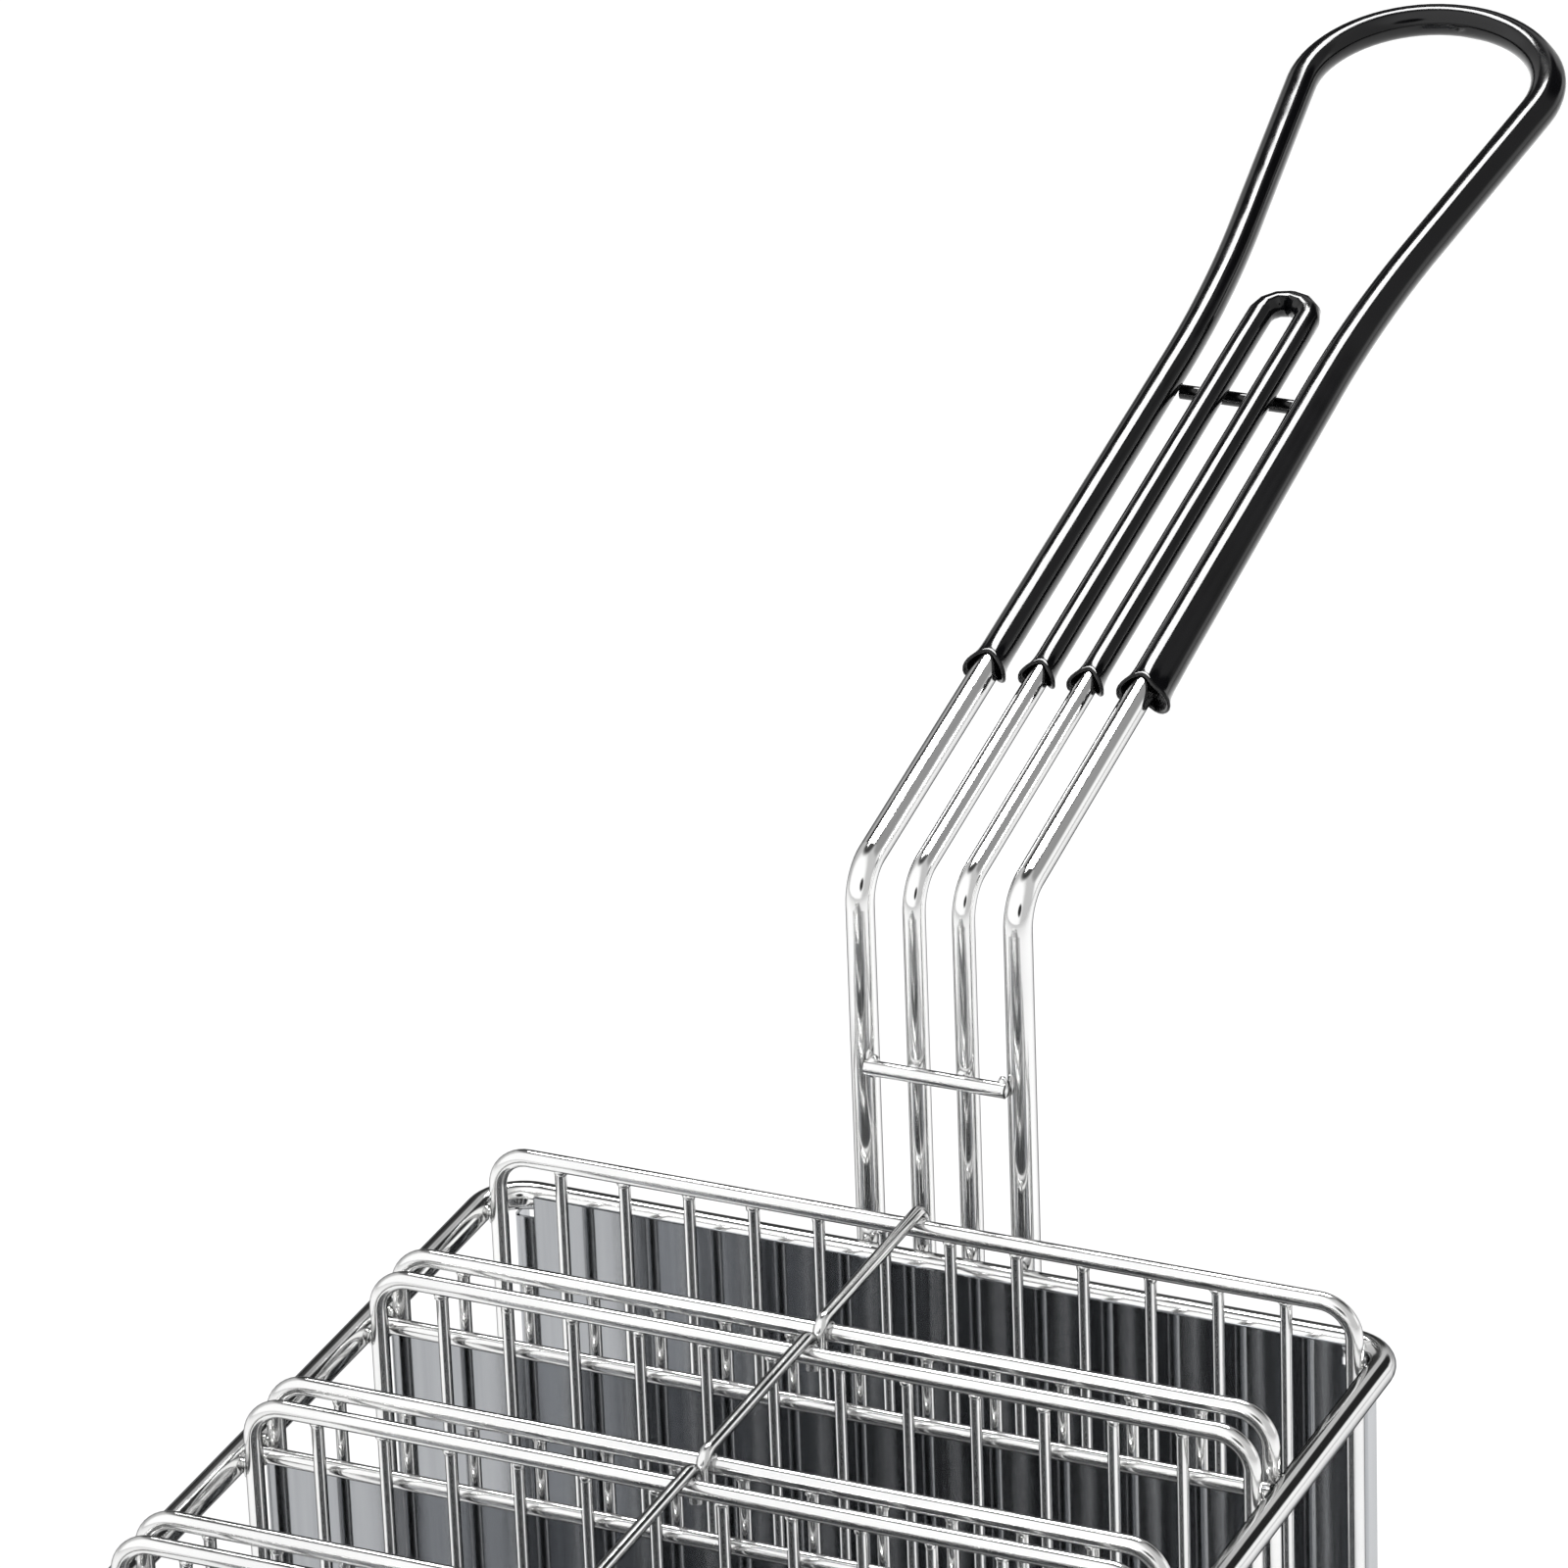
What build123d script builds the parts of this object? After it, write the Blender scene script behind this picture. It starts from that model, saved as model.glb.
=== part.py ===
from build123d import *
import math
import os

# Taco frying basket: a bright metal frame with wire formers that hold folded shells open in the oil.
# A heavy rim wire runs over a floor of lengthwise wires, with a polished sheet panel at each end and open
# sides that let the oil through. Upright wire racks stand in it in pairs. Two racks and the spine wire across
# their tops make one former: a tortilla lies over the spine and its two leaves hang in the narrow slots at the
# former's sides. A polished sheet divider stands under a cross bar in each slot between two formers. A handle
# of two bent wires, one inside the other, rises from the back panel and leans away, and its grip is dipped in
# soft black plastic.
# Millimetres. The origin is on the ground under the middle of the basket. +Y points to the handle, +Z up.

# Basket
basket_width = 165.0
body_height = 127.0
rim_diameter = 4.8
rim_bend_radius = 7.6

# End panels
sheet_thickness = 0.6
panel_ground_clearance = 1.0
panel_top_rise = 1.2
flange_depth = 5.0
fold_radius = 1.2

# Floor
base_wire_diameter = 4.0
base_bend_radius = 5.0
floor_wire_diameter = 3.0
floor_wire_count = 7
floor_wire_end_gap = 0.2

# Formers and the slots between them
former_count = 7
former_span = 37.0
slot_span = 8.0
end_slot_span = 4.8
rail_diameter = 3.0
rail_rise = 11.5
rail_bend_radius = 6.0
rod_diameter = 2.0
rods_per_rack = 12
bar_diameter = 2.8
spine_diameter = 2.2
spine_tail = 4.0

# Handle
outer_wire_diameter = 4.8
inner_wire_diameter = 3.8
brace_diameter = 2.6
outer_leg_spacing = 27.8
inner_leg_spacing = 8.7
riser_height = 67.6
lower_brace_height = 34.3
bend_radius = 7.0
grip_slope = 13.7
neck_distance = 164.0
neck_width = 27.2
neck_radius = 320.0
loop_length = 90.8
loop_width = 51.0
inner_loop_end = 165.0
upper_brace_distance = 141.0
foot_joggle_top = 7.0
foot_joggle_height = 10.0
foot_joggle_radius = 8.0
foot_length = 26.0

# Dipped coating
outer_coating_thickness = 0.45
inner_coating_thickness = 0.4
coating_start = 55.5
lip_length = 3.4
lip_spread = 1.5

# Clearances
weld_gap = 0.05
panel_side_gap = 1.6
notch_gap = 0.3
coating_gap = 0.03
brace_end_gap = 0.1
loop_bend_gap = 0.1

# Plan of the basket
rim_radius = rim_diameter / 2
rail_radius = rail_diameter / 2
former_pitch = former_span + slot_span
inner_length = 2 * end_slot_span + former_count * former_span + (former_count - 1) * slot_span
inner_width = basket_width - 2 * rim_diameter
panel_back_y = inner_length / 2 + sheet_thickness
basket_length = 2 * (panel_back_y + weld_gap + rim_diameter)
panel_half_width = inner_width / 2 - panel_side_gap

# Heights
rim_z = body_height - rim_radius
rail_z = rim_z + rail_rise
floor_wire_z = base_wire_diameter + weld_gap + floor_wire_diameter / 2
floor_top_z = floor_wire_z + floor_wire_diameter / 2
rack_bottom_z = floor_top_z + weld_gap + rail_radius
rack_half_width = inner_width / 2 - weld_gap - rail_radius

# Handle plane
handle_y = basket_length / 2 + weld_gap + outer_wire_diameter / 2
bend_z = rim_z + riser_height
slope = math.radians(grip_slope)

# The outer wire widens from its neck to the loop, and turns a little over a right angle at its end
outer_loop_end = neck_distance + loop_length
loop_turn = math.pi / 2 + math.atan((loop_width - neck_width) / 2 / loop_length)
outer_loop_radius = loop_width / 2 / math.tan(loop_turn / 2) - loop_bend_gap


def back_rack_y(former):
    """Y of a former's rack nearer the handle; formers are counted from the back panel."""
    return inner_length / 2 - end_slot_span - former * former_pitch


def front_rack_y(former):
    return back_rack_y(former) - former_span


def slot_y(slot):
    """Y of the middle of the slot in front of a former."""
    return front_rack_y(slot) - slot_span / 2


def loop_wire(diameter, half_x, half_y, bend, z):
    """A level wire bent round into a closed rectangle, sized by its axis."""
    with BuildPart() as loop:
        with BuildLine(Plane.XY.offset(z)) as path:
            corners = [(half_x, half_y), (-half_x, half_y), (-half_x, -half_y), (half_x, -half_y)]
            FilletPolyline(*corners, radius=bend, close=True)
        with BuildSketch(Plane(origin=path.wire() @ 0, z_dir=path.wire() % 0)):
            Circle(diameter / 2)
        sweep(path=path.wire())
    return loop


# The rim wire lies outside the end panels, and the base wire inside their feet
rim_wire = loop_wire(
    rim_diameter, inner_width / 2 + rim_radius, basket_length / 2 - rim_radius, rim_bend_radius, rim_z
)
rim_wire.part.label = "rim_wire"

base_inset = base_wire_diameter / 2 + weld_gap
base_wire = loop_wire(
    base_wire_diameter, inner_width / 2 - base_inset, inner_length / 2 - base_inset,
    base_bend_radius, base_wire_diameter / 2,
)
base_wire.part.label = "base_wire"


def end_panel(end):
    """A sheet across one end, +1 the back and -1 the front, its sides folded outwards under the rim.

    At the rim it is cut narrower, to clear the rim's corner bends.
    """
    notch_z = rim_z - rim_radius - notch_gap
    notch_half_width = inner_width / 2 + rim_radius - rim_bend_radius - notch_gap
    with BuildPart() as panel:
        with BuildSketch(Plane.XY.offset(panel_ground_clearance)):
            with Locations((0, end * (inner_length + flange_depth) / 2)):
                Rectangle(2 * panel_half_width, flange_depth)
            with Locations((0, end * ((inner_length + flange_depth) / 2 + sheet_thickness))):
                Rectangle(2 * (panel_half_width - sheet_thickness), flange_depth, mode=Mode.SUBTRACT)
        extrude(amount=notch_z - panel_ground_clearance)
        upright_edges = panel.edges().filter_by(Axis.Z)
        inner_corners = upright_edges.filter_by_position(
            Axis.Y, end * panel_back_y - weld_gap, end * panel_back_y + weld_gap
        )
        outer_corners = upright_edges.filter_by_position(
            Axis.Y, end * inner_length / 2 - weld_gap, end * inner_length / 2 + weld_gap
        )
        fillet(outer_corners, radius=fold_radius)
        fillet(inner_corners, radius=fold_radius - sheet_thickness)
        with BuildSketch(Plane.XY.offset(notch_z)):
            with Locations((0, end * (inner_length + sheet_thickness) / 2)):
                Rectangle(2 * notch_half_width, sheet_thickness)
        extrude(amount=rim_z + panel_top_rise - notch_z)
    return panel


back_panel = end_panel(1)
back_panel.part.label = "back_panel"

front_panel = end_panel(-1)
front_panel.part.label = "front_panel"


def floor_wire(x):
    """A lengthwise floor wire, resting on the base wire at its two ends."""
    half_length = inner_length / 2 - floor_wire_end_gap
    with BuildPart() as wire:
        with BuildSketch(Plane.XZ.offset(-half_length)):
            with Locations((x, floor_wire_z)):
                Circle(floor_wire_diameter / 2)
        extrude(amount=2 * half_length)
    return wire


floor_wire_pitch = inner_width / floor_wire_count
floor_wires = []
for place in range(floor_wire_count):
    wire = floor_wire((place - (floor_wire_count - 1) / 2) * floor_wire_pitch)
    wire.part.label = f"floor_wire_{place + 1}"
    floor_wires.append(wire)


def rack(y):
    """An upright grid: a wire bent round into a tall frame, with rods welded between its two rails."""
    rail_length = 2 * rack_half_width
    rod_pitch = rail_length / (rods_per_rack + 1)
    with BuildPart() as grid:
        with BuildLine(Plane.XZ.offset(-y)) as frame:
            corners = [
                (rack_half_width, rack_bottom_z),
                (rack_half_width, rail_z),
                (-rack_half_width, rail_z),
                (-rack_half_width, rack_bottom_z),
            ]
            FilletPolyline(*corners, radius=rail_bend_radius, close=True)
        with BuildSketch(Plane(origin=frame.wire() @ 0, z_dir=frame.wire() % 0)):
            Circle(rail_radius)
        sweep(path=frame.wire())
        with BuildSketch(Plane.XY.offset(rack_bottom_z)):
            with Locations((0, y)):
                with GridLocations(rod_pitch, 0, rods_per_rack, 1):
                    Circle(rod_diameter / 2)
        extrude(amount=rail_z - rack_bottom_z)
    return grid


racks = []
for former in range(former_count):
    for side, y in (("back", back_rack_y(former)), ("front", front_rack_y(former))):
        grid = rack(y)
        grid.part.label = f"former_{former + 1}_{side}_rack"
        racks.append(grid)


def spine_wire(former):
    """A staple over a former's two rails, its ends turned down close outside them."""
    reach = rail_radius + spine_diameter / 2 + weld_gap
    back_y = back_rack_y(former) + reach
    front_y = front_rack_y(former) - reach
    top_z = rail_z + reach
    tail_z = rail_z - spine_tail
    with BuildPart() as staple:
        with BuildLine(Plane.YZ) as path:
            corners = [(back_y, tail_z), (back_y, top_z), (front_y, top_z), (front_y, tail_z)]
            FilletPolyline(*corners, radius=reach)
        with BuildSketch(Plane(origin=path.wire() @ 0, z_dir=path.wire() % 0)):
            Circle(spine_diameter / 2)
        sweep(path=path.wire())
    return staple


spines = []
for former in range(former_count):
    staple = spine_wire(former)
    staple.part.label = f"spine_wire_{former + 1}"
    spines.append(staple)


def cross_bar(y):
    """The bar between two formers, level with the rim and welded to it at both ends."""
    half_length = inner_width / 2 - weld_gap
    with BuildPart() as bar:
        with BuildSketch(Plane.YZ.offset(-half_length)):
            with Locations((y, rim_z)):
                Circle(bar_diameter / 2)
        extrude(amount=2 * half_length)
    return bar


def divider(y):
    """The sheet under a cross bar, standing on the floor wires."""
    bottom = floor_top_z + weld_gap
    top = rim_z - bar_diameter / 2 - weld_gap
    with BuildPart() as sheet:
        with BuildSketch(Plane.XY.offset(bottom)):
            with Locations((0, y)):
                Rectangle(2 * panel_half_width, sheet_thickness)
        extrude(amount=top - bottom)
    return sheet


bars = []
dividers = []
for slot in range(former_count - 1):
    bar = cross_bar(slot_y(slot))
    bar.part.label = f"cross_bar_{slot + 1}"
    bars.append(bar)
    sheet = divider(slot_y(slot))
    sheet.part.label = f"divider_{slot + 1}"
    dividers.append(sheet)


def grip_point(x, distance):
    """A point in the plane of the grip, this far along it from the bend above the riser."""
    return (x, handle_y + distance * math.cos(slope), bend_z + distance * math.sin(slope))


def handle_wire_points(diameter, spacing):
    """One leg of a handle wire from its foot on the back panel up to the bend."""
    x = spacing / 2
    foot_y = panel_back_y + weld_gap + diameter / 2
    joggle_top = rim_z - foot_joggle_top
    joggle_bottom = joggle_top - foot_joggle_height
    return [
        (x, foot_y, joggle_bottom - foot_length),
        (x, foot_y, joggle_bottom),
        (x, handle_y, joggle_top),
        (x, handle_y, bend_z),
    ]


def mirrored(points):
    return [(-x, y, z) for x, y, z in reversed(points)]


def bent_wire(points, radii, diameter):
    """A round wire along straight runs joined by bends."""
    with BuildPart() as wire:
        with BuildLine() as path:
            FilletPolyline(*points, radius=radii)
        with BuildSketch(Plane(origin=path.wire() @ 0, z_dir=path.wire() % 0)):
            Circle(diameter / 2)
        sweep(path=path.wire())
    return wire


outer_neck = grip_point(neck_width / 2, neck_distance)
outer_end = grip_point(loop_width / 2, outer_loop_end)
inner_end = grip_point(inner_leg_spacing / 2, inner_loop_end)
inner_loop_radius = inner_leg_spacing / 2 - loop_bend_gap

outer_half = handle_wire_points(outer_wire_diameter, outer_leg_spacing) + [outer_neck, outer_end]
outer_radii = [foot_joggle_radius, foot_joggle_radius, bend_radius, neck_radius, outer_loop_radius]
handle_outer_wire = bent_wire(
    outer_half + mirrored(outer_half), outer_radii + outer_radii[::-1], outer_wire_diameter
)
handle_outer_wire.part.label = "handle_outer_wire"

inner_half = handle_wire_points(inner_wire_diameter, inner_leg_spacing) + [inner_end]
inner_radii = [foot_joggle_radius, foot_joggle_radius, bend_radius, inner_loop_radius]
handle_inner_wire = bent_wire(
    inner_half + mirrored(inner_half), inner_radii + inner_radii[::-1], inner_wire_diameter
)
handle_inner_wire.part.label = "handle_inner_wire"


def coating(half_points, radii, wire_diameter, thickness):
    """The dipped skin on a handle wire, from one flared lip round the loop to the other."""
    bore = wire_diameter / 2 + coating_gap
    outside = bore + thickness
    points = half_points + mirrored(half_points)
    with BuildPart() as skin:
        with BuildLine() as path:
            FilletPolyline(*points, radius=radii + radii[::-1])
        start = Plane(origin=path.wire() @ 0, z_dir=path.wire() % 0)
        finish = Plane(origin=path.wire() @ 1, z_dir=-(path.wire() % 1))
        with BuildSketch(start):
            Circle(outside)
            Circle(bore, mode=Mode.SUBTRACT)
        sweep(path=path.wire())
        for lip_plane in (start, finish):
            with BuildSketch(lip_plane):
                Circle(outside + lip_spread)
                Circle(bore, mode=Mode.SUBTRACT)
            with BuildSketch(lip_plane.offset(lip_length)):
                Circle(outside)
                Circle(bore, mode=Mode.SUBTRACT)
            loft()
    return skin


def leg_x(spacing, end_x, end_distance, distance):
    """Half the spacing of two legs at this distance along the grip, on their straight run."""
    return spacing / 2 + (end_x - spacing / 2) * distance / end_distance


outer_start_x = leg_x(outer_leg_spacing, neck_width / 2, neck_distance, coating_start)
outer_start = grip_point(outer_start_x, coating_start)
outer_coating = coating(
    [outer_start, outer_neck, outer_end], [neck_radius, outer_loop_radius],
    outer_wire_diameter, outer_coating_thickness,
)
outer_coating.part.label = "outer_coating"

inner_start = grip_point(inner_leg_spacing / 2, coating_start)
inner_coating = coating(
    [inner_start, inner_end], [inner_loop_radius], inner_wire_diameter, inner_coating_thickness
)
inner_coating.part.label = "inner_coating"


def brace(plane, outer_x, outer_diameter, drop):
    """A short wire laid across the inner legs, its ends against the outer legs.

    The plane's X runs across the handle and its Y from the legs to the side that the wire lies on.
    """
    radius = brace_diameter / 2
    near_side = drop - radius
    reach = outer_x - math.sqrt((outer_diameter / 2) ** 2 - near_side**2) - brace_end_gap
    with BuildPart() as wire:
        with BuildSketch(Plane(origin=plane.origin, x_dir=plane.y_dir, z_dir=plane.x_dir).offset(-reach)):
            with Locations((drop, 0)):
                Circle(radius)
        extrude(amount=2 * reach)
    return wire


# The lower brace lies in front of the risers and the upper one under the grip
riser_plane = Plane(origin=(0, handle_y, rim_z + lower_brace_height), x_dir=(1, 0, 0), z_dir=(0, 0, -1))
lower_drop = inner_wire_diameter / 2 + weld_gap + brace_diameter / 2
lower_brace = brace(riser_plane, outer_leg_spacing / 2, outer_wire_diameter, lower_drop)
lower_brace.part.label = "lower_brace"

grip_plane = Plane(
    origin=grip_point(0, upper_brace_distance),
    x_dir=(1, 0, 0),
    z_dir=(0, math.cos(slope), math.sin(slope)),
)
upper_drop = inner_wire_diameter / 2 + coating_gap + inner_coating_thickness + weld_gap + brace_diameter / 2
upper_outer_diameter = outer_wire_diameter + 2 * (coating_gap + outer_coating_thickness)
upper_brace_x = leg_x(outer_leg_spacing, neck_width / 2, neck_distance, upper_brace_distance)
upper_brace = brace(grip_plane, upper_brace_x, upper_outer_diameter, upper_drop)
upper_brace.part.label = "upper_brace"

pieces = [rim_wire, base_wire, back_panel, front_panel] + floor_wires + racks + spines + bars + dividers
pieces += [handle_outer_wire, handle_inner_wire, lower_brace, upper_brace, outer_coating, inner_coating]
os.makedirs("parts", exist_ok=True)
for piece in pieces:
    export_step(piece.part, f"parts/{piece.part.label}.step")
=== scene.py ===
"""Dresses the taco frying basket: bright plated wires, polished sheets and a black dipped grip."""
import math

import bmesh
import bpy
from mathutils import Matrix, Vector


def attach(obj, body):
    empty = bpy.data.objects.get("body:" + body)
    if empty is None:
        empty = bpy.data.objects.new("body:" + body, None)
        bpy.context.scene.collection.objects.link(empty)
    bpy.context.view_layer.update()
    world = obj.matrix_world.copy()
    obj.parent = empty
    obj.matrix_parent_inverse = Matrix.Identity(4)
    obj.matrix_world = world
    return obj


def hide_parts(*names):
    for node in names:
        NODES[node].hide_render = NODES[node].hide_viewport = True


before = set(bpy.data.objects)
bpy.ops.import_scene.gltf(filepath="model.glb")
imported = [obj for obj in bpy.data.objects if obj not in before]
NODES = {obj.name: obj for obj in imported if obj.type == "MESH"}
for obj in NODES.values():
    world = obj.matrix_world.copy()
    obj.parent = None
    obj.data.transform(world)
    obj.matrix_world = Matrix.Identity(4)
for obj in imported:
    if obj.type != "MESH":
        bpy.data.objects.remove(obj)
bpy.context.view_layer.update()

MM = 0.001

# The photograph's camera, fitted to the rim, the rails and the handle. Angles are in degrees, the distance
# and the target in metres, the focal length in the photograph's pixels and the sensor in millimetres.
CAMERA_AZIMUTH = 24.918
CAMERA_ELEVATION = 25.521
CAMERA_ROLL = -2.225
CAMERA_DISTANCE = 1443.3 * MM
CAMERA_TARGET = Vector((-24.236, 160.95, 209.164)) * MM
FOCAL_PIXELS = 9125.3
PHOTO_WIDTH = 1600
SENSOR_WIDTH = 36.0
CLIP_START, CLIP_END = 0.05, 60.0


def srgb(code):
    """A colour written as sRGB hex, as linear red, green, blue and alpha."""
    channels = [int(code[i:i + 2], 16) / 255 for i in (1, 3, 5)]
    linear = [c / 12.92 if c <= 0.04045 else ((c + 0.055) / 1.055) ** 2.4 for c in channels]
    return (*linear, 1.0)


# Shader building

def add(tree, kind, inputs=None, **settings):
    """A new shader node with its settings, and its inputs set to values or linked to sockets."""
    made = tree.nodes.new(kind)
    for name, value in settings.items():
        setattr(made, name, value)
    for name, value in (inputs or {}).items():
        if isinstance(value, bpy.types.NodeSocket):
            tree.links.new(value, made.inputs[name])
        else:
            made.inputs[name].default_value = value
    return made


def new_material(name):
    """An empty node material, and its tree."""
    material = bpy.data.materials.new(name)
    material.use_nodes = True
    material.node_tree.nodes.clear()
    return material, material.node_tree


def finish_surface(tree, shader):
    """Links a shader to a new material output."""
    out = add(tree, "ShaderNodeOutputMaterial")
    tree.links.new(shader.outputs[0], out.inputs["Surface"])


# Noise keeps mostly to this middle range, and each finer layer has this share of the coarser one's height
NOISE_RANGE = (0.3, 0.7)
NOISE_LAYER_SHARE = 0.55

# Sockets of a Mix node set to colours
MIX_COLOUR_A, MIX_COLOUR_B, MIX_COLOUR_OUT = 6, 7, 2


def noise(tree, size_mm, detail=3.0, stretch=(1, 1, 1)):
    """A noise pattern in object space whose blotches are about this many millimetres across."""
    place = add(tree, "ShaderNodeTexCoord")
    scaled = add(tree, "ShaderNodeMapping", {"Vector": place.outputs["Object"], "Scale": stretch})
    return add(tree, "ShaderNodeTexNoise", {
        "Vector": scaled.outputs[0], "Scale": 1 / (size_mm * MM), "Detail": detail,
        "Roughness": NOISE_LAYER_SHARE,
    })


def spread(tree, pattern, low, high):
    """Maps a noise pattern's middle range onto low to high."""
    return add(tree, "ShaderNodeMapRange", {
        "Value": pattern.outputs[0], "From Min": NOISE_RANGE[0], "From Max": NOISE_RANGE[1],
        "To Min": low, "To Max": high,
    })


def bump(tree, pattern, strength, height_mm, over=None):
    """A bump from a pattern, laid over another bump if one is given."""
    inputs = {"Height": pattern.outputs[0], "Strength": strength, "Distance": height_mm * MM}
    if over:
        inputs["Normal"] = over.outputs[0]
    return add(tree, "ShaderNodeBump", inputs)


def two_tone(tree, pattern, colours):
    """The socket of a colour that drifts between two with a pattern."""
    share = spread(tree, pattern, 0.0, 1.0)
    mixed = add(tree, "ShaderNodeMix", {"Factor": share.outputs[0]}, data_type="RGBA")
    mixed.inputs[MIX_COLOUR_A].default_value = srgb(colours[0])
    mixed.inputs[MIX_COLOUR_B].default_value = srgb(colours[1])
    return mixed.outputs[MIX_COLOUR_OUT]


# Dark tint of the plate's grazing reflection: painted shade that draws a dark outline along each wire
PLATE_EDGE_PAINTED_SHADE = "#3c3e40"
VINYL_IOR = 1.45


def plated_wire(name, colours, roughness, grain_mm):
    """Bright nickel over drawn steel wire: mirror bright, with the die's faint wave under the plate and
    painted shade darkening its edges.
    """
    material, tree = new_material(name)
    gloss = spread(tree, noise(tree, size_mm=9.0), *roughness)
    dimple = bump(tree, noise(tree, grain_mm, detail=2.0), strength=0.25, height_mm=0.02)
    finish_surface(tree, add(tree, "ShaderNodeBsdfPrincipled", {
        "Base Color": two_tone(tree, noise(tree, size_mm=30.0), colours), "Metallic": 1.0,
        "Roughness": gloss.outputs[0], "Specular Tint": srgb(PLATE_EDGE_PAINTED_SHADE), "Normal": dimple.outputs[0],
    }))
    return material


def polished_sheet(name, colours, roughness):
    """Cold rolled sheet buffed to a dark mirror, with the buff's faint upright streaks."""
    material, tree = new_material(name)
    streak = noise(tree, size_mm=1.6, detail=4.0, stretch=(1, 1, 0.03))
    gloss = spread(tree, streak, *roughness)
    buckle = bump(tree, noise(tree, size_mm=26.0, detail=2.0), strength=0.25, height_mm=0.2)
    fine = bump(tree, streak, strength=0.12, height_mm=0.015, over=buckle)
    finish_surface(tree, add(tree, "ShaderNodeBsdfPrincipled", {
        "Base Color": two_tone(tree, streak, colours), "Metallic": 1.0,
        "Roughness": gloss.outputs[0], "Normal": fine.outputs[0],
    }))
    return material


def dipped_vinyl(name, colours, roughness):
    """Black vinyl the grip was dipped in: wet gloss, with the slow sags of a thick dip."""
    material, tree = new_material(name)
    sag = noise(tree, size_mm=14.0, detail=1.0)
    gloss = spread(tree, noise(tree, size_mm=5.0), *roughness)
    slow = bump(tree, sag, strength=0.4, height_mm=0.35)
    pores = bump(tree, noise(tree, size_mm=0.9, detail=2.0), strength=0.08, height_mm=0.03, over=slow)
    finish_surface(tree, add(tree, "ShaderNodeBsdfPrincipled", {
        "Base Color": two_tone(tree, sag, colours), "Roughness": gloss.outputs[0],
        "IOR": VINYL_IOR, "Normal": pores.outputs[0],
    }))
    return material


# Light drawn wire of the racks, spines, bars and floor
RACK_WIRE = plated_wire(
    "nickel_plated_drawn_wire", ("#e8e8e8", "#f4f4f3"), roughness=(0.10, 0.20), grain_mm=1.6
)
# Heavy wire of the rim, foot and handle
FRAME_WIRE = plated_wire(
    "nickel_plated_bent_bar", ("#ececec", "#f6f6f5"), roughness=(0.06, 0.13), grain_mm=4.0
)
SHEET = polished_sheet("buffed_cold_rolled_sheet", ("#a0a2a5", "#acaeb1"), roughness=(0.06, 0.13))
VINYL = dipped_vinyl("black_dipped_vinyl", ("#050506", "#0a0a0c"), roughness=(0.07, 0.15))

DIPPED = ("outer_coating", "inner_coating", "upper_brace")
HEAVY = ("rim_wire", "base_wire", "handle_outer_wire", "handle_inner_wire", "lower_brace")


def node_material(name):
    """The material of a node that keeps its own solid."""
    if name in DIPPED:
        return VINYL
    if name in HEAVY:
        return FRAME_WIRE
    if name.endswith("_panel") or name.startswith("divider_"):
        return SHEET
    return RACK_WIRE


for name, solid in NODES.items():
    solid.data.materials.clear()
    solid.data.materials.append(node_material(name))


# Dipped skin of the grip, with the sagged lips and the run of the right leg that the solid leaves out

# The handle in millimetres, with distances along the grip from its bend
HANDLE_Y = 166.2
BEND_Z = 192.2
GRIP_SLOPE = math.radians(13.7)
COATING_START = 55.5
NECK_DISTANCE = 164.0
LOOP_END = 254.8
INNER_LOOP_END = 165.0

# Half widths of the grip, on the wires' axes
OUTER_LEG_X = 13.8
NECK_X = 13.6
LOOP_X = 25.5
INNER_LEG_X = 4.35

# Radii of the bends, on the wires' axes: the loop's two bends would meet if theirs weren't a little smaller
NECK_RADIUS = 320.0
LOOP_RADIUS_CUT = 0.1
INNER_LOOP_RADIUS = 4.25

# Radii of the skins and of the bores round the wires
OUTER_SKIN_RADIUS, OUTER_BORE = 2.88, 2.43
INNER_SKIN_RADIUS, INNER_BORE = 2.33, 1.93

# Lips: where they start, how far they reach at the leg's top and droop at its sides, and how they flare
LIP_LENGTH = 6.0
LIP_STEPS = (0.0, 0.3, 0.55, 0.75, 0.9, 1.0)
LIP_TOP = 1.7
LIP_DROOP = 2.7
LEAST_FLARE = 0.1
SIDE_FLARE = 0.95
SIDE_SHARPNESS = 1.6
LIP_ROLL = ((-0.28, -0.16), (-0.26, -0.5))
LIP_INSIDE = 0.3
LIP_INSIDE_SHARE = 0.45
BORE_DEPTH = 1.3
CLEAR_OF_LIP = 7.0

# The run of thicker skin on the right leg: its size, its lean from the side, where it starts round the
# leg, and how much of it fades over which length
RIGHT_LEG_FROM_X = 1.0
RUN_SIZE = 1.9
RUN_LEAN = math.radians(32)
RUN_START = 0.25
RUN_FADE = 0.6
RUN_FADE_LENGTH = 130.0

# How finely a skin is divided, round the wire and along it
RING_SIDES = 32
STRAIGHT_STEP = 5.0
ARC_STEP = 2.0
LEAST_ARC_STEPS = 3


def on_grip(x, distance, lift):
    """A point by its place across the grip, its distance from the bend and its lift from the plane."""
    c, s = math.cos(GRIP_SLOPE), math.sin(GRIP_SLOPE)
    return Vector((x, HANDLE_Y + distance * c - lift * s, BEND_Z + distance * s + lift * c)) * MM


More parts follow.
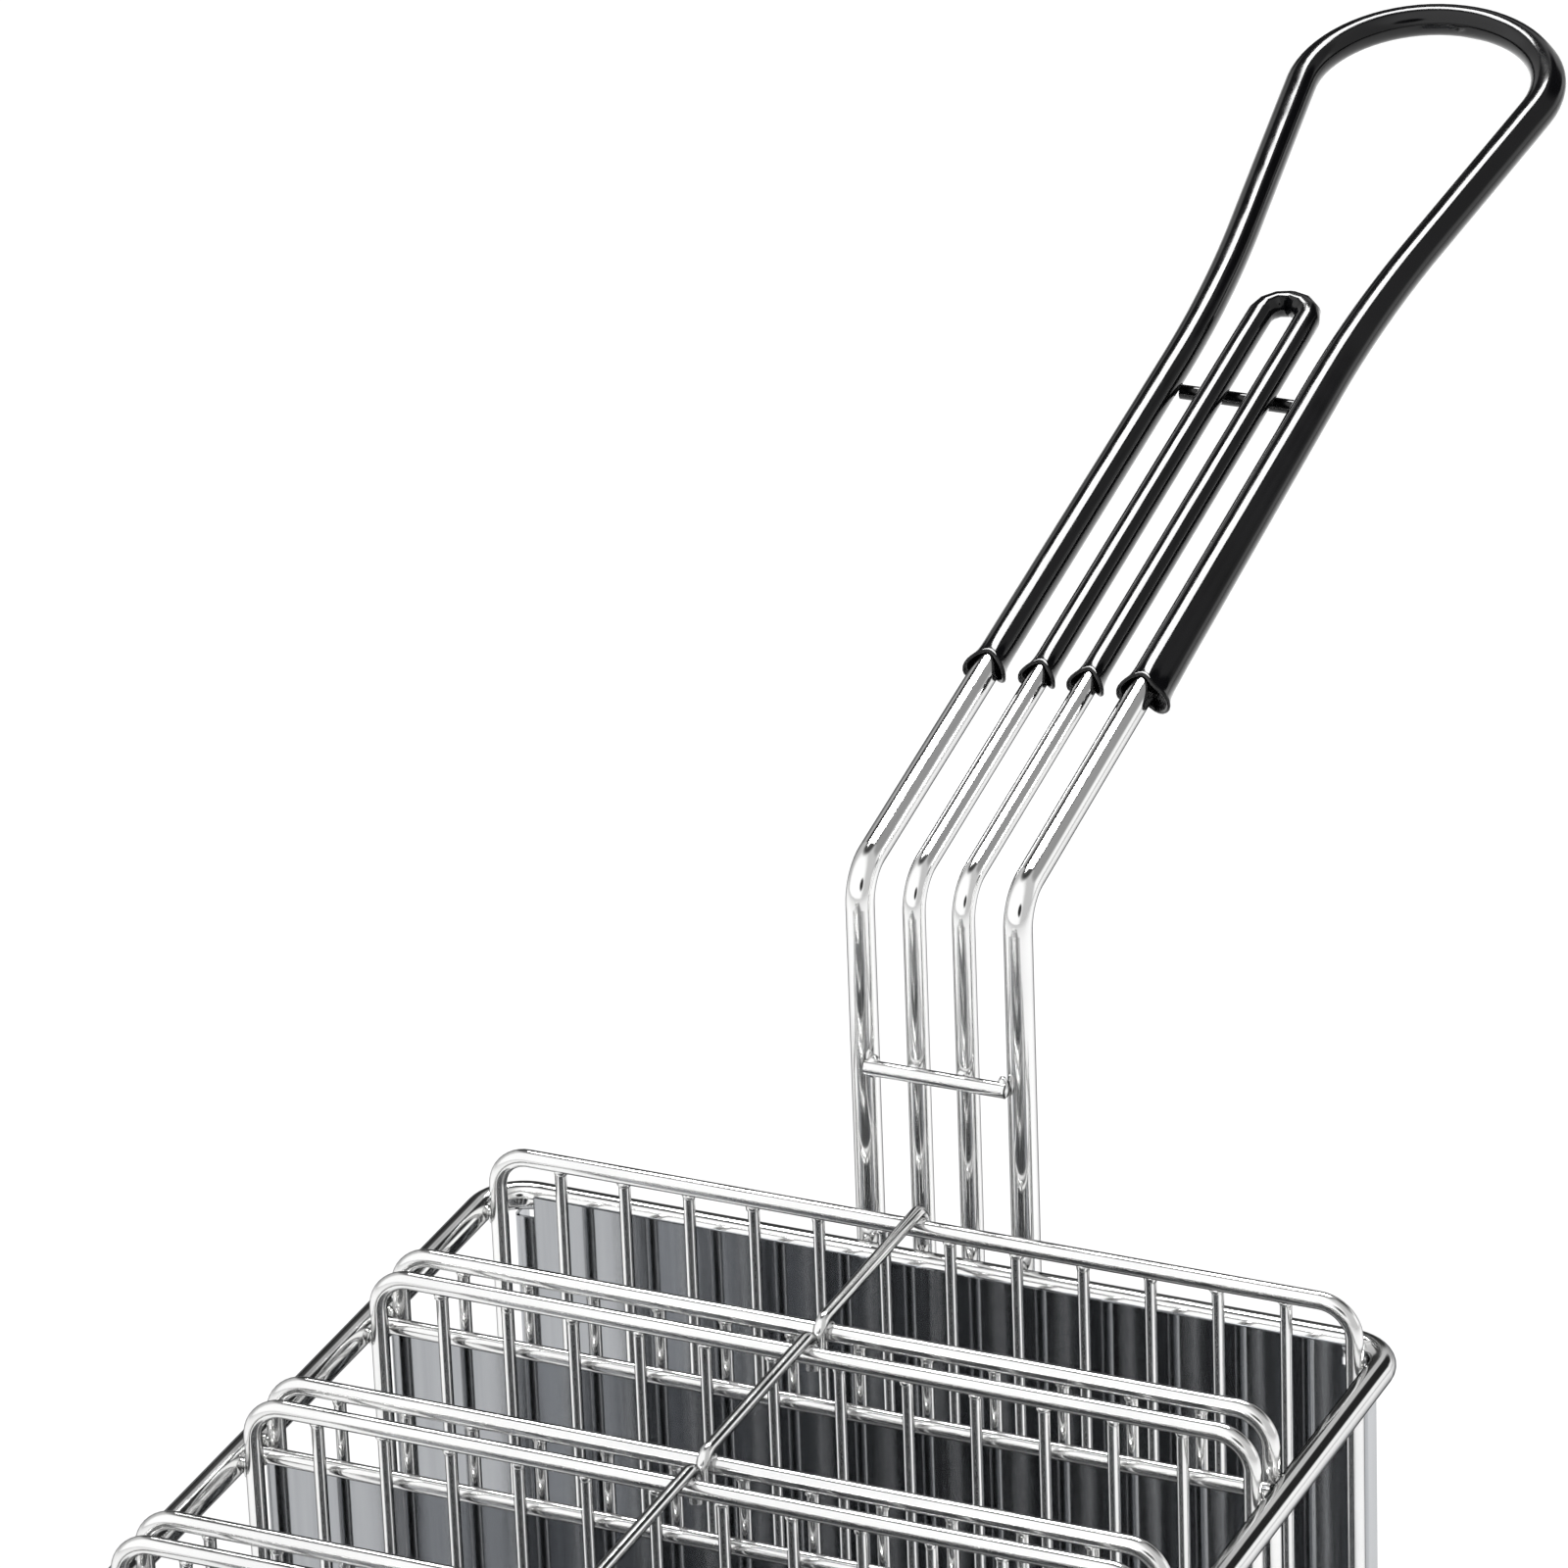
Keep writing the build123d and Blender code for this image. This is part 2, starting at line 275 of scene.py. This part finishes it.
def rounded_run(corners, radii):
    """Points and directions along straight runs joined by arcs, in flat coordinates."""
    corners = [Vector(c) for c in corners]
    stops = [(corners[0], None)]
    for before, at, after, radius in zip(corners, corners[1:], corners[2:], radii):
        into, out = (at - before).normalized(), (after - at).normalized()
        turn = into.angle_signed(out)
        reach = radius * math.tan(abs(turn) / 2)
        side = Vector((into.y, -into.x)) * math.copysign(1, turn)
        stops.append((at - into * reach, (at - into * reach + side * radius, -turn)))
        stops.append((at + out * reach, None))
    stops.append((corners[-1], None))
    run = []
    for (start, arc), (end, _) in zip(stops, stops[1:]):
        if arc:
            centre, turn = arc
            count = max(LEAST_ARC_STEPS, round((start - centre).length * abs(turn) / ARC_STEP))
            for k in range(count):
                spoke = (start - centre).copy()
                spoke.rotate(Matrix.Rotation(turn * k / count, 2))
                run.append(centre + spoke)
        else:
            count = max(1, round((end - start).length / STRAIGHT_STEP))
            run += [start.lerp(end, k / count) for k in range(count)]
    run.append(stops[-1][0])
    ahead = run[1:] + run[-1:]
    behind = run[:1] + run[:-1]
    return [(here, (a - b).normalized()) for here, a, b in zip(run, ahead, behind)]


def mesh_object(name, shape, material):
    """Turns a finished shape into an object with smooth faces turned outwards."""
    bmesh.ops.recalc_face_normals(shape, faces=shape.faces)
    for face in shape.faces:
        face.smooth = True
    mesh = bpy.data.meshes.new(name)
    shape.to_mesh(mesh)
    shape.free()
    mesh.materials.append(material)
    made = bpy.data.objects.new(name, mesh)
    bpy.context.scene.collection.objects.link(made)
    return made


def join_rings(shape, rings):
    """Faces between rings of points, each ring joined to the next and the last one to the first."""
    rows = [[shape.verts.new(point) for point in ring] for ring in rings]
    for near, far in zip(rows, rows[1:] + rows[:1]):
        for k in range(len(near)):
            n = (k + 1) % len(near)
            shape.faces.new((near[k], near[n], far[n], far[k]))


def lip_profile(side_share, skin, bore):
    """Rows of a lip from the skin round its edge into the bore: how far along the leg, and how wide."""
    edge = LIP_TOP - LIP_DROOP * side_share
    flare = LEAST_FLARE + SIDE_FLARE * side_share
    rows = [(LIP_LENGTH + (edge - LIP_LENGTH) * u, skin + flare * u**3) for u in LIP_STEPS]
    rows += [(edge + along, skin + flare + outward) for along, outward in LIP_ROLL]
    rows.append((edge + LIP_INSIDE, bore + LIP_INSIDE_SHARE * (skin + flare - bore)))
    rows.append((edge + BORE_DEPTH, bore))
    return rows


def run_down(size, place, angle, heading):
    """Extra skin that ran down the outer side of the right leg while it hung to dry."""
    if place.x < RIGHT_LEG_FROM_X:
        return 0.0
    outward = Vector((heading.y, -heading.x)).x * math.cos(angle)
    towards_run = outward * math.cos(RUN_LEAN) - math.sin(angle) * math.sin(RUN_LEAN)
    share = max(0.0, towards_run - RUN_START) / (1 - RUN_START)
    fade = 1.0 - RUN_FADE * min(1.0, max(0.0, (place.y - COATING_START) / RUN_FADE_LENGTH))
    return size * share * share * (3 - 2 * share) * fade


def skin_ring(place, heading, radii, slides):
    """Points round a wire at one place, with each one's radius and its slide along the wire."""
    side = Vector((heading.y, -heading.x))
    points = []
    for k in range(RING_SIDES):
        angle = math.tau * k / RING_SIDES
        flat = place + heading * slides[k] + side * (radii[k] * math.cos(angle))
        points.append(on_grip(flat.x, flat.y, radii[k] * math.sin(angle)))
    return points


def dipped_skin(name, corners, bend_radii, skin, bore, run_size):
    """The vinyl skin on one wire of the grip, swept along it and folded in at both drooping lips."""
    run = rounded_run(corners, bend_radii)
    length = sum((b[0] - a[0]).length for a, b in zip(run, run[1:]))
    angles = [math.tau * k / RING_SIDES for k in range(RING_SIDES)]
    profiles = [lip_profile(abs(math.cos(a)) ** SIDE_SHARPNESS, skin, bore) for a in angles]
    last_row = len(profiles[0]) - 1
    no_slide = [0.0] * RING_SIDES

    def lip_ring(row, place, heading, way):
        """One row of a lip, at the start with way 1 and at the end with way -1."""
        extra = [run_down(run_size, place, a, heading) if row < last_row else 0.0 for a in angles]
        return skin_ring(place, heading, [p[row][1] + e for p, e in zip(profiles, extra)],
                         [way * p[row][0] for p in profiles])

    body = []
    walked = 0.0
    for (before, _), (place, heading) in zip(run, run[1:]):
        walked += (place - before).length
        if CLEAR_OF_LIP < walked < length - CLEAR_OF_LIP:
            body.append((place, heading))

    rings = [lip_ring(row, *run[0], 1) for row in reversed(range(last_row + 1))]
    for place, heading in body:
        radii = [skin + run_down(run_size, place, a, heading) for a in angles]
        rings.append(skin_ring(place, heading, radii, no_slide))
    rings += [lip_ring(row, *run[-1], -1) for row in range(last_row + 1)]
    for place, heading in reversed(body):
        rings.append(skin_ring(place, heading, [bore] * RING_SIDES, no_slide))
    shape = bmesh.new()
    join_rings(shape, rings)
    return mesh_object(name, shape, VINYL)


def there_and_back(half_points):
    """The corners of a wire from those of its right half, given from its foot up."""
    return half_points + [(-x, distance) for x, distance in reversed(half_points)]


loop_turn = math.pi / 2 + math.atan((LOOP_X - NECK_X) / (LOOP_END - NECK_DISTANCE))
loop_radius = LOOP_X / math.tan(loop_turn / 2) - LOOP_RADIUS_CUT
outer_skin = dipped_skin(
    "outer_dipped_skin",
    there_and_back([(OUTER_LEG_X, COATING_START), (NECK_X, NECK_DISTANCE), (LOOP_X, LOOP_END)]),
    [NECK_RADIUS, loop_radius, loop_radius, NECK_RADIUS], OUTER_SKIN_RADIUS, OUTER_BORE, RUN_SIZE,
)
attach(outer_skin, "root")
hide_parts("outer_coating")
inner_skin = dipped_skin(
    "inner_dipped_skin",
    there_and_back([(INNER_LEG_X, COATING_START), (INNER_LEG_X, INNER_LOOP_END)]),
    [INNER_LOOP_RADIUS, INNER_LOOP_RADIUS], INNER_SKIN_RADIUS, INNER_BORE, 0.0,
)
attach(inner_skin, "root")
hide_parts("inner_coating")


# Welds: small upset beads where wires were pressed together hot, in millimetres

RIM_Z = 124.6
BAR_WELD_Z = RIM_Z - 0.3
RACK_WELD_Z = RIM_Z - 0.5
RAIL_Z = 136.1
ROD_WELD_Z = RAIL_Z - 1.5
SPINE_WELD_Z = RAIL_Z + 1.35
FORMERS = 7
FORMER_PITCH = 45.0
FORMER_SPAN = 37.0
FIRST_RACK_Y = 153.5
BACK_RACKS = [FIRST_RACK_Y - FORMER_PITCH * former for former in range(FORMERS)]
FRONT_RACKS = [y - FORMER_SPAN for y in BACK_RACKS]
RACKS = BACK_RACKS + FRONT_RACKS
BARS = [y - (FORMER_PITCH - FORMER_SPAN) / 2 for y in FRONT_RACKS[:-1]]
RODS = 12
RACK_WIDTH = 152.3
ROD_PITCH = RACK_WIDTH / (RODS + 1)
BAR_END_X = 76.9
RACK_END_X = 77.5
LOWER_BRACE_Z = 158.9
BRACE_END = (11.5, HANDLE_Y - 2.5)
BRACE_CROSSING = (INNER_LEG_X, HANDLE_Y - 1.9)
PANEL_BACK_Y = 159.4
FEET = ((13.9, 2.4), (-13.9, 2.4), (4.35, 1.9), (-4.35, 1.9))  # place across the handle and wire radius
FOOT_WELDS_Z = (100.5, 88.5)

# Half sizes of the beads
BAR_BEAD = (1.5, 2.1, 1.6)
RACK_BEAD = (0.6, 1.3, 1.5)
ROD_BEAD = (1.25, 1.2, 0.95)
SPINE_BEAD = (1.5, 1.5, 0.7)
BRACE_END_BEAD = (1.2, 1.5, 2.1)
BRACE_CROSSING_BEAD = (1.3, 0.9, 1.8)
FOOT_BEAD_SHARE = 0.8  # of the wire's radius
FOOT_BEAD_DEPTH, FOOT_BEAD_HEIGHT = 0.7, 2.4

# Lumps on a bead: their heights, their waves along x, y and z, and the steps of seed from bead to bead
COARSE_LUMP, FINE_LUMP = 0.14, 0.08
LUMP_WAVES = (2.3, 1.9, 4.1)
SECOND_SEED_SHARE = 1.7
SEED_STEP = 1.3


def bead(shape, place, size, seed):
    """A squashed lump, higher in its middle and uneven round its edge, centred in millimetres."""
    made = bmesh.ops.create_icosphere(shape, subdivisions=2, radius=1.0)
    for vert in made["verts"]:
        waves = [wave * along for wave, along in zip(LUMP_WAVES, vert.co)]
        lump = 1 + COARSE_LUMP * math.sin(waves[0] + seed) * math.cos(waves[1] + SECOND_SEED_SHARE * seed)
        lump += FINE_LUMP * math.sin(waves[2] + seed)
        vert.co = Vector([p + s * along * lump for p, s, along in zip(place, size, vert.co)]) * MM


def beads(name, spots, material):
    """Many beads in one mesh, each given by its middle and its half sizes in millimetres."""
    shape = bmesh.new()
    for count, (place, size) in enumerate(spots):
        bead(shape, place, size, SEED_STEP * count)
    made = mesh_object(name, shape, material)
    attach(made, "root")
    return made


beads("bar_welds", [
    ((side * BAR_END_X, y, BAR_WELD_Z), BAR_BEAD) for y in BARS for side in (-1, 1)
], RACK_WIRE)
beads("rack_to_rim_welds", [
    ((side * RACK_END_X, y, RACK_WELD_Z), RACK_BEAD) for y in RACKS for side in (-1, 1)
], RACK_WIRE)
beads("rod_welds", [
    (((rod - (RODS - 1) / 2) * ROD_PITCH, y, ROD_WELD_Z), ROD_BEAD) for y in RACKS for rod in range(RODS)
], RACK_WIRE)
beads("spine_welds", [((0.0, y, SPINE_WELD_Z), SPINE_BEAD) for y in RACKS], RACK_WIRE)
beads("lower_brace_welds", [
    ((side * x, y, LOWER_BRACE_Z), size)
    for side in (-1, 1)
    for (x, y), size in ((BRACE_END, BRACE_END_BEAD), (BRACE_CROSSING, BRACE_CROSSING_BEAD))
], FRAME_WIRE)
beads("foot_welds", [
    ((x, PANEL_BACK_Y, z), (radius * FOOT_BEAD_SHARE, FOOT_BEAD_DEPTH, FOOT_BEAD_HEIGHT))
    for x, radius in FEET for z in FOOT_WELDS_Z
], FRAME_WIRE)


# Stage, lamp and camera

FLOOR_HALF_SIZE = 12.0
# The floor's share of plain white, which takes no shadow, as seen by the camera and as mirrored by the metal
FLOOR_SHARE_SEEN = 0.8
FLOOR_SHARE_MIRRORED = 0.15
PAPER = "#f4f4f4"
WHITE = (1, 1, 1, 1)

LAMP_PLACE = (-0.26, 0.94, 1.31)
LAMP_TARGET = (0, 0.25, 0.2)
LAMP_SIZE = (0.8, 0.4)
LAMP_WATTS = 22


def studio_floor():
    """A pale floor that reads as white paper and takes a soft shadow, a deeper one in reflections."""
    material, tree = new_material("white_studio_floor")
    path = add(tree, "ShaderNodeLightPath")
    mirrored = add(tree, "ShaderNodeMath", {0: path.outputs["Is Glossy Ray"], 1: FLOOR_SHARE_MIRRORED},
                   operation="MULTIPLY")
    share = add(tree, "ShaderNodeMapRange", {
        "Value": path.outputs["Is Camera Ray"], "To Min": mirrored.outputs[0], "To Max": FLOOR_SHARE_SEEN,
    })
    paper = add(tree, "ShaderNodeBsdfDiffuse", {"Color": srgb(PAPER)})
    white = add(tree, "ShaderNodeEmission", {"Color": WHITE, "Strength": 1.0})
    finish_surface(tree, add(tree, "ShaderNodeMixShader", {
        0: share.outputs[0], 1: paper.outputs[0], 2: white.outputs[0],
    }))
    mesh = bpy.data.meshes.new("studio_floor")
    shape = bmesh.new()
    bmesh.ops.create_grid(shape, x_segments=4, y_segments=4, size=FLOOR_HALF_SIZE)
    shape.to_mesh(mesh)
    shape.free()
    floor = bpy.data.objects.new("studio_floor", mesh)
    mesh.materials.append(material)
    bpy.context.scene.collection.objects.link(floor)


def overhead_softbox():
    """A lamp overhead and a little behind, which draws the white line down each leg of the grip."""
    lamp = bpy.data.lights.new("overhead_softbox", "AREA")
    lamp.shape = "RECTANGLE"
    lamp.size, lamp.size_y = LAMP_SIZE
    lamp.energy = LAMP_WATTS
    box = bpy.data.objects.new("overhead_softbox", lamp)
    bpy.context.scene.collection.objects.link(box)
    box.location = LAMP_PLACE
    box.rotation_euler = (Vector(LAMP_TARGET) - Vector(LAMP_PLACE)).to_track_quat("-Z", "Y").to_euler()


# The room's level, and its lighter and darker parts: the way to each, the angle round it where it fades
# out, the angle of its core, and its level
ROOM_LEVEL = 0.62
ROOM_PARTS = (
    ((-0.38, -0.80, 0.46), 72, 45, 1.15),  # white wall at the front left
    ((0.66, 0.72, 0.12), 32, 18, 1.1),  # white wall at the right
    ((0.5, 0.6, 0.62), 28, 14, 0.33),  # dim corner over it
    ((0.31, 0.82, 0.48), 20, 13, 0.02),  # dark doorway behind
    ((-0.40, 0.90, 0.15), 23, 17, 0.05),  # dark low cupboard at the back left
    ((-0.5, 0.66, 0.56), 14, 8, 0.05),  # dark shelf over it
    ((-0.2, 0.42, 0.88), 32, 16, 0.05),  # dark ceiling round the lamp
    ((0.381, -0.818, 0.43), 15, 9, 0.03),  # dark cloth round the camera
)


def studio_world():
    """A pale room whose lighter and darker parts draw the bands along the bright wires."""
    world = bpy.data.worlds.new("studio_room")
    world.use_nodes = True
    tree = world.node_tree
    tree.nodes.clear()
    heading = add(tree, "ShaderNodeTexCoord").outputs["Generated"]
    level = ROOM_LEVEL
    for towards, fade, core, part_level in ROOM_PARTS:
        lean = add(tree, "ShaderNodeVectorMath", {0: heading, 1: Vector(towards).normalized()},
                   operation="DOT_PRODUCT")
        share = add(tree, "ShaderNodeMapRange", {
            "Value": lean.outputs["Value"],
            "From Min": math.cos(math.radians(fade)), "From Max": math.cos(math.radians(core)),
        }, interpolation_type="SMOOTHSTEP")
        level = add(tree, "ShaderNodeMapRange", {
            "Value": share.outputs[0], "To Min": level, "To Max": part_level,
        }).outputs[0]
    path = add(tree, "ShaderNodeLightPath")
    shown = add(tree, "ShaderNodeMapRange", {
        "Value": path.outputs["Is Camera Ray"], "To Min": level, "To Max": 1.0,
    })
    room = add(tree, "ShaderNodeBackground", {"Color": WHITE, "Strength": shown.outputs[0]})
    out = add(tree, "ShaderNodeOutputWorld")
    tree.links.new(room.outputs[0], out.inputs["Surface"])
    bpy.context.scene.world = world


def photo_camera():
    """The camera at the photograph's place, from its angles round the target."""
    azimuth, elevation, roll = (math.radians(a) for a in (CAMERA_AZIMUTH, CAMERA_ELEVATION, CAMERA_ROLL))
    back = Vector((
        math.sin(azimuth) * math.cos(elevation),
        -math.cos(azimuth) * math.cos(elevation),
        math.sin(elevation),
    ))
    level = Vector((math.cos(azimuth), math.sin(azimuth), 0))
    upright = back.cross(level)
    right = math.cos(roll) * level + math.sin(roll) * upright
    up = -math.sin(roll) * level + math.cos(roll) * upright
    lens = bpy.data.cameras.new("photo_camera")
    lens.sensor_fit = "HORIZONTAL"
    lens.sensor_width = SENSOR_WIDTH
    lens.lens = FOCAL_PIXELS * SENSOR_WIDTH / PHOTO_WIDTH
    lens.clip_start, lens.clip_end = CLIP_START, CLIP_END
    camera = bpy.data.objects.new("photo_camera", lens)
    bpy.context.scene.collection.objects.link(camera)
    turn = Matrix((right, up, back)).transposed().to_4x4()
    camera.matrix_world = Matrix.Translation(CAMERA_TARGET + CAMERA_DISTANCE * back) @ turn
    bpy.context.scene.camera = camera


studio_floor()
studio_world()
overhead_softbox()
photo_camera()

bpy.context.scene.view_settings.view_transform = "Standard"

bpy.context.view_layer.update()
